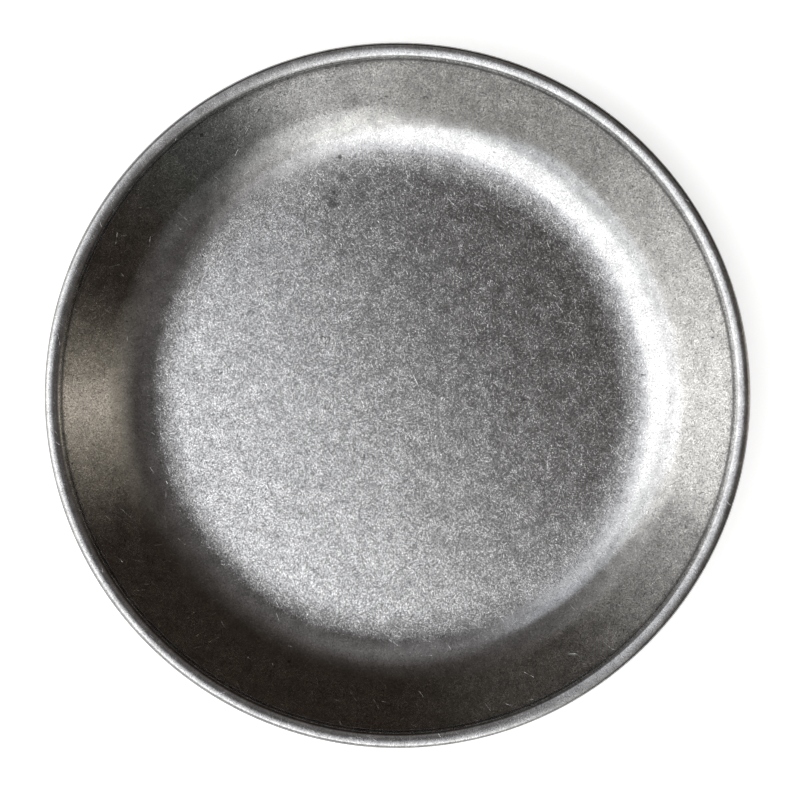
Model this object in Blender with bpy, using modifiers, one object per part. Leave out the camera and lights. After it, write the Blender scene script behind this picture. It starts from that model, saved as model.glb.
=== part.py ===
# Camping plate: one round blank of stainless sheet, drawn into a shallow dish
# and curled outwards at its edge into a hollow rolled rim.
# Metres, +Z up, origin on the plate's axis at the underside of the floor.

import math

import bpy

# Plate
OUTER_DIAMETER = 0.220
HEIGHT = 0.020
SHEET_THICKNESS = 0.0006
SWEEP_RADIUS = 0.100  # upper face, where the floor's outer band starts to rise
SWEEP_ANGLE = math.radians(5.0)  # above the floor, at the foot of the corner
CORNER_RADIUS = 0.027  # upper face, between the rising band and the wall
WALL_ANGLE = math.radians(40.0)  # above the floor

# Rolled rim, seen in section
ROLL_WIDTH = 0.0051  # from the upright lip to the outer edge
ROLL_SHOULDER_RADIUS = 0.0018  # from the lip over to the crown
ROLL_CROWN_RADIUS = 0.0075  # flattened top, highest where the nose begins
ROLL_NOSE_RADIUS = 0.0017  # outer side, turning right under
CREASE_RADIUS = 0.0012  # upper face, where the wall turns up into the lip
FREE_EDGE_CLEARANCE = 0.0005  # free edge to the back of the lip

# Facets
TURN_STEPS = 72
SWEEP_STEPS = 2
CORNER_STEPS = 8
CREASE_STEPS = 3
SHOULDER_STEPS = 4
CROWN_STEPS = 3
NOSE_STEPS = 10  # even, so that one point lies on the outer edge
SEAM_MERGE = 0.00001

# Bare steel, greyed by tumbling
STEEL_COLOUR = (0.56, 0.56, 0.55, 1.0)
STEEL_ROUGHNESS = 0.38


def arc(centre, radius, start, end, steps):
    """Points along an arc in the section, from its start to its end."""
    turn = (end - start) / steps
    angles = [start + turn * step for step in range(steps + 1)]
    return [(centre[0] + radius * math.cos(a), centre[1] + radius * math.sin(a)) for a in angles]


def rolled_rim():
    """The upper face from the foot of the crease to the sheet's free edge."""
    lip_radius = OUTER_DIAMETER / 2 - ROLL_WIDTH
    crest_radius = OUTER_DIAMETER / 2 - ROLL_NOSE_RADIUS
    crown_run = crest_radius - lip_radius - ROLL_SHOULDER_RADIUS

    # Shoulder and crown meet where they slope alike.
    join_slope = math.asin(crown_run / (ROLL_CROWN_RADIUS - ROLL_SHOULDER_RADIUS))
    crown_drop = ROLL_CROWN_RADIUS * (1 - math.cos(join_slope))
    lip_height = HEIGHT - crown_drop - ROLL_SHOULDER_RADIUS * math.cos(join_slope)
    crease_centre = (lip_radius - CREASE_RADIUS, lip_height)
    shoulder_centre = (lip_radius + ROLL_SHOULDER_RADIUS, lip_height)
    crown_centre = (crest_radius, HEIGHT - ROLL_CROWN_RADIUS)
    nose_centre = (crest_radius, HEIGHT - ROLL_NOSE_RADIUS)

    # The free edge runs in under the roll and stops short of the lip's back at its own height.
    edge_height = HEIGHT - 2 * ROLL_NOSE_RADIUS
    edge_rise = max(edge_height + SHEET_THICKNESS - lip_height, 0.0)
    back_reach = math.sqrt((ROLL_SHOULDER_RADIUS - SHEET_THICKNESS) ** 2 - edge_rise ** 2)
    free_edge = (shoulder_centre[0] - back_reach + FREE_EDGE_CLEARANCE, edge_height)

    up, down = math.pi / 2, -math.pi / 2
    crease = arc(crease_centre, CREASE_RADIUS, WALL_ANGLE + down, 0.0, CREASE_STEPS)
    shoulder = arc(shoulder_centre, ROLL_SHOULDER_RADIUS, math.pi, up + join_slope, SHOULDER_STEPS)
    crown = arc(crown_centre, ROLL_CROWN_RADIUS, up + join_slope, up, CROWN_STEPS)
    nose = arc(nose_centre, ROLL_NOSE_RADIUS, up, down, NOSE_STEPS)
    return crease + shoulder[1:] + crown[1:] + nose[1:] + [free_edge]


def sheet_section():
    """The sheet's upper face as one line, from the axis out to its free edge."""
    rim = rolled_rim()
    wall_top_radius, wall_top_height = rim[0]
    sweep_height = SHEET_THICKNESS + SWEEP_RADIUS * (1 - math.cos(SWEEP_ANGLE))
    corner_height = sweep_height + CORNER_RADIUS * (math.cos(SWEEP_ANGLE) - math.cos(WALL_ANGLE))
    wall_run = (wall_top_height - corner_height) / math.tan(WALL_ANGLE)
    corner_run = CORNER_RADIUS * (math.sin(WALL_ANGLE) - math.sin(SWEEP_ANGLE))
    sweep_end_radius = wall_top_radius - wall_run - corner_run
    floor_radius = sweep_end_radius - SWEEP_RADIUS * math.sin(SWEEP_ANGLE)

    down = -math.pi / 2
    sweep_centre = (floor_radius, SHEET_THICKNESS + SWEEP_RADIUS)
    corner_centre = (
        sweep_end_radius - CORNER_RADIUS * math.sin(SWEEP_ANGLE),
        sweep_height + CORNER_RADIUS * math.cos(SWEEP_ANGLE),
    )
    sweep = arc(sweep_centre, SWEEP_RADIUS, down, down + SWEEP_ANGLE, SWEEP_STEPS)
    corner = arc(corner_centre, CORNER_RADIUS, down + SWEEP_ANGLE, down + WALL_ANGLE, CORNER_STEPS)
    return [(0.0, SHEET_THICKNESS)] + sweep + corner[1:] + rim


def steel_material():
    """Grey tumbled stainless steel."""
    steel = bpy.data.materials.new("tumbled_steel")
    steel.use_nodes = True
    shader = steel.node_tree.nodes["Principled BSDF"]
    shader.inputs["Base Color"].default_value = STEEL_COLOUR
    shader.inputs["Metallic"].default_value = 1.0
    shader.inputs["Roughness"].default_value = STEEL_ROUGHNESS
    steel.diffuse_color = STEEL_COLOUR
    return steel


def turned_sheet(name, section, thickness):
    """A sheet of even thickness, turned about +Z from the section of its upper face."""
    mesh = bpy.data.meshes.new(name)
    edges = [(point, point + 1) for point in range(len(section) - 1)]
    mesh.from_pydata([(radius, 0.0, height) for radius, height in section], edges, [])
    sheet = bpy.data.objects.new(name, mesh)

    turn = sheet.modifiers.new("turn", "SCREW")
    turn.axis = "Z"
    turn.angle = math.tau
    turn.steps = TURN_STEPS
    turn.render_steps = TURN_STEPS
    turn.use_merge_vertices = True
    turn.merge_threshold = SEAM_MERGE
    turn.use_smooth_shade = True

    wall = sheet.modifiers.new("thickness", "SOLIDIFY")
    wall.thickness = thickness
    wall.offset = -1.0
    wall.use_even_offset = True
    wall.use_quality_normals = True
    return sheet


def build():
    for leftover in list(bpy.data.objects):
        bpy.data.objects.remove(leftover, do_unlink=True)
    collection = bpy.data.collections.new("camping_plate")
    bpy.context.scene.collection.children.link(collection)
    plate = turned_sheet("plate", sheet_section(), SHEET_THICKNESS)
    plate.data.materials.append(steel_material())
    collection.objects.link(plate)


build()
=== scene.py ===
import math

import bpy
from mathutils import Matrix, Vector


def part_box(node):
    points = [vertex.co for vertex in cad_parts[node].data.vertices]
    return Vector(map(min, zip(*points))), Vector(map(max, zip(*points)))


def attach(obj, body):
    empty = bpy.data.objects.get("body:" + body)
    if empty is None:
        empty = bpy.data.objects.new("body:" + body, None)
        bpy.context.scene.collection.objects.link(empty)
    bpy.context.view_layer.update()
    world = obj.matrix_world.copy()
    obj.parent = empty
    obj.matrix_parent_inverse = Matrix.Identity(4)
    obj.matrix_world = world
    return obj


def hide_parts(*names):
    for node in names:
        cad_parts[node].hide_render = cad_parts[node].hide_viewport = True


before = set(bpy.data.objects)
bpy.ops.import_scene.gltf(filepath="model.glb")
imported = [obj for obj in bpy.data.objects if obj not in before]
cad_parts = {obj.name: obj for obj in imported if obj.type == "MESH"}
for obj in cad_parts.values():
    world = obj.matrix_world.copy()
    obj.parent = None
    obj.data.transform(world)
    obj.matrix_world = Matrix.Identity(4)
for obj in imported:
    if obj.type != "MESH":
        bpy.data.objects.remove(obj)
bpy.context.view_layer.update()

lowCorner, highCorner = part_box("plate")
outerRadius = highCorner.x
rimHeight = highCorner.z
print("frame loaded, plate node from", tuple(lowCorner), "to", tuple(highCorner))


# Small helpers for node trees

def addNode(tree, kind, inputs=None, **settings):  # an input is a plain value or another node's socket
    node = tree.nodes.new(kind)
    for name, value in settings.items():
        setattr(node, name, value)
    for name, value in (inputs or {}).items():
        if isinstance(value, bpy.types.NodeSocket):
            tree.links.new(value, node.inputs[name])
        else:
            node.inputs[name].default_value = value
    return node


def calc(tree, operation, *values):
    return addNode(tree, "ShaderNodeMath", dict(enumerate(values)), operation=operation).outputs["Value"]


def product(tree, result, *others):
    for value in others:
        result = calc(tree, "MULTIPLY", result, value)
    return result


def darker(tree, mask, shade):  # 1 where the mask is 0, lower by the shade where it is 1
    return calc(tree, "SUBTRACT", 1.0, calc(tree, "MULTIPLY", mask, shade))


def vectorCalc(tree, operation, *values):
    node = addNode(tree, "ShaderNodeVectorMath", dict(enumerate(values)), operation=operation)
    return node.outputs["Value" if operation in ("DOT_PRODUCT", "LENGTH") else "Vector"]


def fade(tree, value, start, end, low=0.0, high=1.0):  # smooth step from low at start to high at end
    ends = {"Value": value, "From Min": start, "From Max": end, "To Min": low, "To Max": high}
    return addNode(tree, "ShaderNodeMapRange", ends, interpolation_type="SMOOTHSTEP").outputs["Result"]


def noise(tree, place, size, detail):  # size is the width of its blotches in metres
    inputs = {"Vector": place, "Scale": 1.0 / size, "Detail": detail}
    return addNode(tree, "ShaderNodeTexNoise", inputs, noise_dimensions="3D").outputs["Fac"]


# Camera, straight above the plate

camera = {
    "height": 0.65,                 # above the plate's underside
    "imageSide": 800,               # pixels
    "plateRadius": 352.8,           # pixels, outer edge of the rolled rim
    "plateCentre": (397.6, 395.3),  # pixels, from the upper left
    "sensor": 36.0,                 # millimetres
}


def addCamera(edgeHeight):  # edgeHeight is where the plate is widest
    side = camera["imageSide"]
    pixelsPerTangent = camera["plateRadius"] * (camera["height"] - edgeHeight) / outerRadius
    data = bpy.data.cameras.new("topCamera")
    data.sensor_width = camera["sensor"]
    data.lens = camera["sensor"] * pixelsPerTangent / side
    data.shift_x = (side / 2 - camera["plateCentre"][0]) / side
    data.shift_y = (camera["plateCentre"][1] - side / 2) / side
    eye = bpy.data.objects.new("topCamera", data)
    eye.location = (0.0, 0.0, camera["height"])
    bpy.context.scene.collection.objects.link(eye)
    bpy.context.scene.camera = eye
    print("camera set, lens", round(data.lens, 1), "mm")


# Studio light: soft boxes in a dark room, all far away

studio = {
    "room": (0.039, 0.030, 0.023),  # dim and slightly warm
    "leastDepth": 0.001,            # so that nothing is divided by zero
    # azimuth and elevation in degrees, width, height and soft edge as seen from one metre,
    # colour, strength
    "boxes": {
        "sideWindow": (217.6, 19.1, 2.82, 3.42, 0.10, (1.0, 1.0, 0.97), 0.49),
        "overheadFill": (204.6, 61.3, 1.31, 1.06, 0.15, (0.88, 0.93, 1.0), 0.50),
        "overheadKey": (222.0, 70.5, 0.97, 0.60, 0.315, (1.0, 0.99, 0.99), 1.00),
        "highWindow": (262.0, 45.0, 0.20, 0.25, 0.25, (1.0, 1.0, 1.0), 0.38),
        "leftGlow": (178.5, 29.4, 0.52, 0.19, 2.00, (1.0, 0.985, 0.965), 3.25),
        "lowerCard": (285.2, 38.0, 0.30, 0.78, 0.43, (1.0, 1.0, 0.985), 1.36),
        "lowerTail": (306.0, 24.0, 0.20, 0.80, 0.70, (0.80, 1.0, 0.98), 0.11),
        "warmCard": (2.6, 23.0, 0.05, 0.85, 0.80, (1.0, 0.91, 0.755), 0.92),
        "warmLamp": (2.0, 15.0, 0.10, 0.40, 0.20, (1.0, 0.86, 0.76), 0.34),
        "upperCard": (120.0, 20.0, 0.60, 0.50, 0.40, (1.0, 1.0, 0.93), 0.05),
        "behindCard": (95.0, 66.0, 0.35, 0.35, 0.45, (1.0, 0.98, 1.0), 0.17),
        "backFill": (45.0, 79.5, 4.00, 0.05, 1.95, (0.98, 0.97, 1.0), 0.19),
    },
}


def softBox(tree, direction, azimuth, elevation, width, height, edge, colour, strength):
    turn, lean = math.radians(azimuth), math.radians(elevation)
    ahead = (math.cos(lean) * math.cos(turn), math.cos(lean) * math.sin(turn), math.sin(lean))
    across = (-math.sin(turn), math.cos(turn), 0.0)
    up = (-math.sin(lean) * math.cos(turn), -math.sin(lean) * math.sin(turn), math.cos(lean))
    facing = vectorCalc(tree, "DOT_PRODUCT", direction, ahead)
    depth = calc(tree, "MAXIMUM", facing, studio["leastDepth"])
    amount = calc(tree, "MULTIPLY", calc(tree, "GREATER_THAN", facing, 0.0), strength)
    for axis, size in ((across, width), (up, height)):
        offset = calc(tree, "DIVIDE", vectorCalc(tree, "DOT_PRODUCT", direction, axis), depth)
        inside = fade(tree, calc(tree, "ABSOLUTE", offset), (size + edge) / 2, (size - edge) / 2)
        amount = calc(tree, "MULTIPLY", amount, inside)
    return vectorCalc(tree, "MULTIPLY", amount, colour)


def lightStudio():
    world = bpy.data.worlds.new("studio")
    bpy.context.scene.world = world
    world.use_nodes = True
    tree = world.node_tree
    tree.nodes.clear()
    direction = addNode(tree, "ShaderNodeTexCoord").outputs["Generated"]
    total = addNode(tree, "ShaderNodeCombineXYZ", dict(zip("XYZ", studio["room"]))).outputs["Vector"]
    for box in studio["boxes"].values():
        total = vectorCalc(tree, "ADD", total, softBox(tree, direction, *box))
    shine = addNode(tree, "ShaderNodeBackground", {"Color": total, "Strength": 1.0})
    addNode(tree, "ShaderNodeOutputWorld", {"Surface": shine.outputs["Background"]})
    print("studio lit with", len(studio["boxes"]), "soft boxes")


# Floor, pale and plain, lifted to white for what the camera and the metal see

floor = {
    "radius": 8.0,
    "segments": 96,
    "colour": (0.85, 0.85, 0.85, 1.0),
    "lift": 0.62,                   # light added for those rays, little enough to keep the plate's shadow
    "gap": 0.0002,                  # below the plate, so that the two faces don't coincide
}


def addFloor():
    bpy.ops.object.select_all(action="DESELECT")
    bpy.ops.mesh.primitive_circle_add(vertices=floor["segments"], radius=floor["radius"], fill_type="NGON",
                                      location=(0.0, 0.0, -floor["gap"]))
    ground = bpy.context.object
    ground.name = "studioFloor"
    paint = bpy.data.materials.new("paleFloor")
    paint.use_nodes = True
    tree = paint.node_tree
    tree.nodes.clear()
    rays = addNode(tree, "ShaderNodeLightPath").outputs
    seen = calc(tree, "MAXIMUM", rays["Is Camera Ray"], rays["Is Glossy Ray"])
    seen = calc(tree, "MAXIMUM", seen, rays["Is Transmission Ray"])
    matt = addNode(tree, "ShaderNodeBsdfDiffuse", {"Color": floor["colour"]})
    lift = addNode(tree, "ShaderNodeEmission", {"Strength": calc(tree, "MULTIPLY", seen, floor["lift"])})
    both = addNode(tree, "ShaderNodeAddShader", {0: matt.outputs["BSDF"], 1: lift.outputs["Emission"]})
    addNode(tree, "ShaderNodeOutputMaterial", {"Surface": both.outputs["Shader"]})
    ground.data.materials.append(paint)
    print("floor laid")


# Plate: one blank of sheet, drawn into a dish and curled outwards at its edge

plate = {
    "thickness": 0.0006,
    "sweepRadius": 0.100,           # floor's outer band, starting to rise
    "sweepAngle": math.radians(5.0),
    "cornerRadius": 0.027,
    "wallAngle": math.radians(40.0),
    "rollWidth": 0.0051,            # from the upright lip to the outer edge
    "shoulderRadius": 0.0018,       # from the lip over to the crown
    "crownRadius": 0.0106,          # flattened top of the roll
    "noseTop": 0.0013,              # radius from the crown over to the outer edge
    "noseUnder": (0.0017, 0.0021),  # reach inwards and drop from the outer edge to the roll's foot
    "creaseRadius": 0.0012,
    "edgeClearance": 0.0005,        # free edge to the back of the lip
    "smoothAngle": math.radians(50.0),
    "segments": 320,                # around the axis
    "rings": {"floor": 18, "sweep": 6, "corner": 16, "wall": 8, "crease": 6, "shoulder": 9, "crown": 6,
              "noseTop": 9, "noseUnder": 9, "edge": 3},
}
lipRadius = outerRadius - plate["rollWidth"]
crestRadius = outerRadius - plate["noseTop"]
noseHeight = rimHeight - plate["noseTop"]


def arcPoints(centre, radius, start, end, steps, rise=None):  # rise is the upright radius of an oval
    turn = (end - start) / steps
    angles = [start + turn * step for step in range(1, steps + 1)]
    return [(centre[0] + radius * math.cos(a), centre[1] + (rise or radius) * math.sin(a)) for a in angles]


def linePoints(start, end, steps):
    shares = [step / steps for step in range(1, steps + 1)]
    return [(start[0] + (end[0] - start[0]) * s, start[1] + (end[1] - start[1]) * s) for s in shares]


def plateSection():  # the upper face from near the axis to the sheet's free edge
    up, down = math.pi / 2, -math.pi / 2
    rings, thickness = plate["rings"], plate["thickness"]
    sweep, sweepAngle = plate["sweepRadius"], plate["sweepAngle"]
    corner, wallAngle = plate["cornerRadius"], plate["wallAngle"]
    crease, shoulder, crown = plate["creaseRadius"], plate["shoulderRadius"], plate["crownRadius"]
    underReach, underDrop = plate["noseUnder"]

    # the roll, from its lip to the free edge underneath
    joinSlope = math.asin((crestRadius - lipRadius - shoulder) / (crown - shoulder))  # where the two meet
    lipHeight = rimHeight - crown * (1 - math.cos(joinSlope)) - shoulder * math.cos(joinSlope)
    shoulderCentre = (lipRadius + shoulder, lipHeight)
    noseFoot = noseHeight - underDrop
    underCentre = (outerRadius - underReach, noseHeight)
    edgeRise = max(noseFoot + thickness - lipHeight, 0.0)
    backReach = math.sqrt((shoulder - thickness) ** 2 - edgeRise ** 2)
    freeEdge = (shoulderCentre[0] - backReach + plate["edgeClearance"], noseFoot)

    # the dish, from the crease inwards
    creaseCentre = (lipRadius - crease, lipHeight)
    wallTop = (creaseCentre[0] + crease * math.sin(wallAngle),
               creaseCentre[1] - crease * math.cos(wallAngle))
    sweepTop = thickness + sweep * (1 - math.cos(sweepAngle))
    cornerTop = sweepTop + corner * (math.cos(sweepAngle) - math.cos(wallAngle))
    wallFoot = wallTop[0] - (wallTop[1] - cornerTop) / math.tan(wallAngle)
    sweepEnd = wallFoot - corner * (math.sin(wallAngle) - math.sin(sweepAngle))
    cornerCentre = (sweepEnd - corner * math.sin(sweepAngle), sweepTop + corner * math.cos(sweepAngle))
    floorRadius = sweepEnd - sweep * math.sin(sweepAngle)

    points = linePoints((0.0, thickness), (floorRadius, thickness), rings["floor"])
    points += arcPoints((floorRadius, thickness + sweep), sweep, down, down + sweepAngle, rings["sweep"])
    points += arcPoints(cornerCentre, corner, down + sweepAngle, down + wallAngle, rings["corner"])
    points += linePoints((wallFoot, cornerTop), wallTop, rings["wall"])
    points += arcPoints(creaseCentre, crease, down + wallAngle, 0.0, rings["crease"])
    points += arcPoints(shoulderCentre, shoulder, math.pi, up + joinSlope, rings["shoulder"])
    points += arcPoints((crestRadius, rimHeight - crown), crown, up + joinSlope, up, rings["crown"])
    points += arcPoints((crestRadius, noseHeight), plate["noseTop"], up, 0.0, rings["noseTop"])
    points += arcPoints(underCentre, underReach, 0.0, down, rings["noseUnder"], underDrop)
    points += linePoints((outerRadius - underReach, noseFoot), freeEdge, rings["edge"])
    return points


def extrudeRing(start, end):  # grows the open edge from one point of the section to the next
    bpy.ops.mesh.extrude_region_move(TRANSFORM_OT_translate={"value": (0.0, 0.0, end[1] - start[1])})
    grow = end[0] / start[0]
    bpy.ops.transform.resize(value=(grow, grow, 1.0), center_override=(0.0, 0.0, end[1]))


def modelPlate():
    section = plateSection()
    bpy.ops.object.select_all(action="DESELECT")
    bpy.ops.mesh.primitive_circle_add(vertices=plate["segments"], radius=section[0][0], fill_type="TRIFAN",
                                      location=(0.0, 0.0, section[0][1]))
    piece = bpy.context.object
    piece.name = "campingPlate"
    bpy.ops.object.transform_apply(location=True, rotation=True, scale=True)
    bpy.ops.object.mode_set(mode="EDIT")
    bpy.ops.mesh.select_mode(type="EDGE")
    bpy.ops.mesh.select_all(action="SELECT")
    bpy.ops.mesh.region_to_loop()
    for start, end in zip(section, section[1:]):
        extrudeRing(start, end)
    bpy.ops.object.mode_set(mode="OBJECT")
    wall = piece.modifiers.new("sheet", "SOLIDIFY")
    wall.thickness = plate["thickness"]
    wall.offset = -1.0
    wall.use_even_offset = True
    wall.use_quality_normals = True
    bpy.ops.object.modifier_apply(modifier=wall.name)
    bpy.ops.object.shade_smooth_by_angle(angle=plate["smoothAngle"])
    print("plate modelled with", len(piece.data.polygons), "faces")
    return piece


# Tumbled steel: grey, flecked and nicked, smoother on corner, wall and roll, with painted shade in the
# crease and under the roll

steel = {
    "colour": (0.56, 0.56, 0.56),
    "roughness": (0.11, 0.16),          # in the dark clouds, and between them
    "grain": (0.00042, 1.0),            # size and detail
    "grainDepth": 0.000009,
    "ripples": (0.022, 1.0),            # size and detail
    "rippleDepth": 0.000060,
    "clouds": (0.0050, 3.0),            # size and detail
    "cloudRange": (0.3, 0.7),           # values of their noise, from darkest to clear
    "cloudShade": 0.20,                 # how much darker
    # cell size, half width, half length, slope, share of the cells that hold a mark,
    # darkest and lightest tone, shift of the pattern
    "flecks": {
        "short": (0.0006, 0.00011, 0.00041, 0.026, 1.00, (-0.85, 0.75), 0.31),
        "middle": (0.0010, 0.00010, 0.00088, 0.029, 0.80, (-0.80, 0.85), 0.57),
        "scratch": (0.0045, 0.00010, 0.00230, 0.060, 0.32, (0.05, 0.70), 0.83),
        "nick": (0.0070, 0.00022, 0.00060, 0.090, 0.50, (0.35, 0.90), 0.17),
    },
    "fleckCore": (0.4, 0.7),            # share of its half width and half length where a mark is full
    "fleckLean": (1.0, 1.0, 0.5),       # spread of the direction across a mark, more level than upright
    "tones": (0.50, 0.74),              # grain and flecks this strong change it by this much
    # radius where the polish starts and is full, share of the grain and flecks that it takes away
    "cornerPolish": (0.0735, 0.081, 0.70),
    "wallPolish": (0.088, 0.095, 0.42),
    "rollReach": (0.0005, 0.0010),      # outwards from the lip: where the roll's finish starts and is full
    "rollPolish": 0.55,                 # share that it takes away of what the wall has
    "rollSmooth": 0.85,                 # roughness of the roll beside the rest
    # painted shade in the crease, outwards from the lip: where it starts, is darkest from and to, and ends
    "crease": (-0.0012, -0.0002, 0.0001, 0.0004),
    "creaseShade": 0.12,
    "paintedShadeUnderRoll": (0.0011, 0.0005),      # painted shade under the roll, above the outer edge: where it starts and is darkest
    "underRollShade": 0.88,
    "stainSpots": ((-0.0175, 0.0693), (-0.0197, 0.0655), (-0.0207, 0.0617)),
    "stainReach": (0.0024, 0.00072),    # outer radius of a spot, and of its core
    "stainBlotches": (0.0013, 1.0),     # size and detail
    "stainRange": (0.30, 0.50),         # values of their noise, from clean to darkest
    "stainShade": 0.55,
}
midColour = (0.5, 0.5, 0.5)  # takes a random colour to both sides of zero


def fleckMarks(tree, place, cell, halfWidth, halfLength, slope, share, tones, shift):
    moved = vectorCalc(tree, "ADD", place, (shift, -shift, shift / 2))
    cells = addNode(tree, "ShaderNodeTexVoronoi", {"Vector": moved, "Scale": 1.0 / cell},
                    voronoi_dimensions="3D", feature="F1").outputs
    chance = addNode(tree, "ShaderNodeTexWhiteNoise", {"Vector": cells["Position"]},
                     noise_dimensions="3D").outputs
    away = vectorCalc(tree, "SUBTRACT", moved, cells["Position"])
    lean = vectorCalc(tree, "SUBTRACT", cells["Color"], midColour)
    lean = vectorCalc(tree, "NORMALIZE", vectorCalc(tree, "MULTIPLY", lean, steel["fleckLean"]))
    across = calc(tree, "ABSOLUTE", vectorCalc(tree, "DOT_PRODUCT", away, lean))
    coreWidth, coreLength = steel["fleckCore"]
    inLine = fade(tree, across, halfWidth, halfWidth * coreWidth)
    inLength = fade(tree, vectorCalc(tree, "LENGTH", away), halfLength, halfLength * coreLength)
    mark = product(tree, inLine, inLength, calc(tree, "LESS_THAN", chance["Value"], share))
    facet = vectorCalc(tree, "SUBTRACT", chance["Color"], midColour)
    ramp = calc(tree, "MULTIPLY", vectorCalc(tree, "DOT_PRODUCT", away, facet), slope * 2)
    tone = calc(tree, "MULTIPLY_ADD", chance["Value"], (tones[1] - tones[0]) / share, tones[0])
    return calc(tree, "MULTIPLY", mark, ramp), calc(tree, "MULTIPLY", mark, tone)


def tumbleMarks(tree, place):  # relief and tone of the grain and all its flecks
    grain = noise(tree, place, *steel["grain"])
    relief = calc(tree, "MULTIPLY", grain, steel["grainDepth"])
    tone = calc(tree, "SUBTRACT", grain, 0.5)  # half is the middle of the noise
    for marks in steel["flecks"].values():
        markRelief, markTone = fleckMarks(tree, place, *marks)
        relief = calc(tree, "ADD", relief, markRelief)
        tone = calc(tree, "ADD", tone, markTone)
    return relief, tone


def marksKept(tree, radius, onRoll):  # share of the grain and flecks that shows, 1 on the floor
    cornerStart, cornerEnd, cornerPolish = steel["cornerPolish"]
    wallStart, wallEnd, wallPolish = steel["wallPolish"]
    corner = fade(tree, radius, cornerStart, cornerEnd, 1.0, 1.0 - cornerPolish)
    wall = fade(tree, radius, wallStart, wallEnd, 0.0, cornerPolish - wallPolish)
    roll = fade(tree, onRoll, 0.0, 1.0, 1.0, 1.0 - steel["rollPolish"])
    return product(tree, calc(tree, "ADD", corner, wall), roll)


def paintedShade(tree, radius, height, onRoll):  # 1 elsewhere, lower by painted shade in the crease and under the roll
    start, darkFrom, darkTo, end = [lipRadius + offset for offset in steel["crease"]]
    paintedCreaseShade = product(tree, fade(tree, radius, start, darkFrom), fade(tree, radius, end, darkTo))
    rollStart, rollDark = [noseHeight + offset for offset in steel["paintedShadeUnderRoll"]]
    paintedShadeUnderRoll = product(tree, fade(tree, height, rollStart, rollDark), onRoll)
    # painted shade in the crease, then painted shade under the roll, multiplied together
    crease = darker(tree, paintedCreaseShade, steel["creaseShade"])
    return product(tree, crease, darker(tree, paintedShadeUnderRoll, steel["underRollShade"]))


def stain(tree, place):  # 1 on clean metal, lower in the spots of an old stain on the floor
    blotches = fade(tree, noise(tree, place, *steel["stainBlotches"]), *steel["stainRange"])
    reach, core = steel["stainReach"]
    spots = []
    for x, y in steel["stainSpots"]:
        away = vectorCalc(tree, "LENGTH", vectorCalc(tree, "SUBTRACT", place, (x, y, plate["thickness"])))
        spots.append(darker(tree, blotches, fade(tree, away, reach, core, 0.0, steel["stainShade"])))
    return product(tree, *spots)


def tumbledSteel():
    metal = bpy.data.materials.new("tumbledSteel")
    metal.use_nodes = True
    tree = metal.node_tree
    shader = tree.nodes["Principled BSDF"]
    place = addNode(tree, "ShaderNodeTexCoord").outputs["Object"]
    radius = vectorCalc(tree, "LENGTH", vectorCalc(tree, "MULTIPLY", place, (1.0, 1.0, 0.0)))
    height = addNode(tree, "ShaderNodeSeparateXYZ", {"Vector": place}).outputs["Z"]
    rollStart, rollEnd = [lipRadius + offset for offset in steel["rollReach"]]
    onRoll = fade(tree, radius, rollStart, rollEnd)

    # bump
    relief, tone = tumbleMarks(tree, place)
    kept = marksKept(tree, radius, onRoll)
    ripples = calc(tree, "MULTIPLY", noise(tree, place, *steel["ripples"]), steel["rippleDepth"])
    relief = calc(tree, "ADD", calc(tree, "MULTIPLY", relief, kept), ripples)
    bump = addNode(tree, "ShaderNodeBump", {"Height": relief, "Strength": 1.0, "Distance": 1.0})
    tree.links.new(bump.outputs["Normal"], shader.inputs["Normal"])

    # colour
    clouds = noise(tree, place, *steel["clouds"])
    cloudDark, cloudClear = steel["cloudRange"]
    toneReach, spread = steel["tones"]
    marks = fade(tree, calc(tree, "MULTIPLY", tone, kept), -toneReach, toneReach, 1.0 - spread, 1.0 + spread)
    cloudTone = fade(tree, clouds, cloudClear, cloudDark, 1.0, 1.0 - steel["cloudShade"])
    # the marks, clouds and stain are the steel's own tone; the painted shade in the crease and under the
    # roll multiplies them
    brightness = product(tree, marks, cloudTone, paintedShade(tree, radius, height, onRoll), stain(tree, place))
    tree.links.new(vectorCalc(tree, "MULTIPLY", steel["colour"], brightness), shader.inputs["Base Color"])

    # gloss
    roughness = fade(tree, clouds, cloudDark, cloudClear, *steel["roughness"])
    roughness = product(tree, roughness, fade(tree, onRoll, 0.0, 1.0, 1.0, steel["rollSmooth"]))
    tree.links.new(roughness, shader.inputs["Roughness"])
    shader.inputs["Metallic"].default_value = 1.0
    print("steel mixed with", len(steel["flecks"]), "sets of flecks")
    return metal


# Everything in order

bpy.context.scene.view_settings.view_transform = "Standard"
addCamera(noseHeight)
lightStudio()
addFloor()
campingPlate = modelPlate()
campingPlate.data.materials.append(tumbledSteel())
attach(campingPlate, "root")
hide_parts("plate")
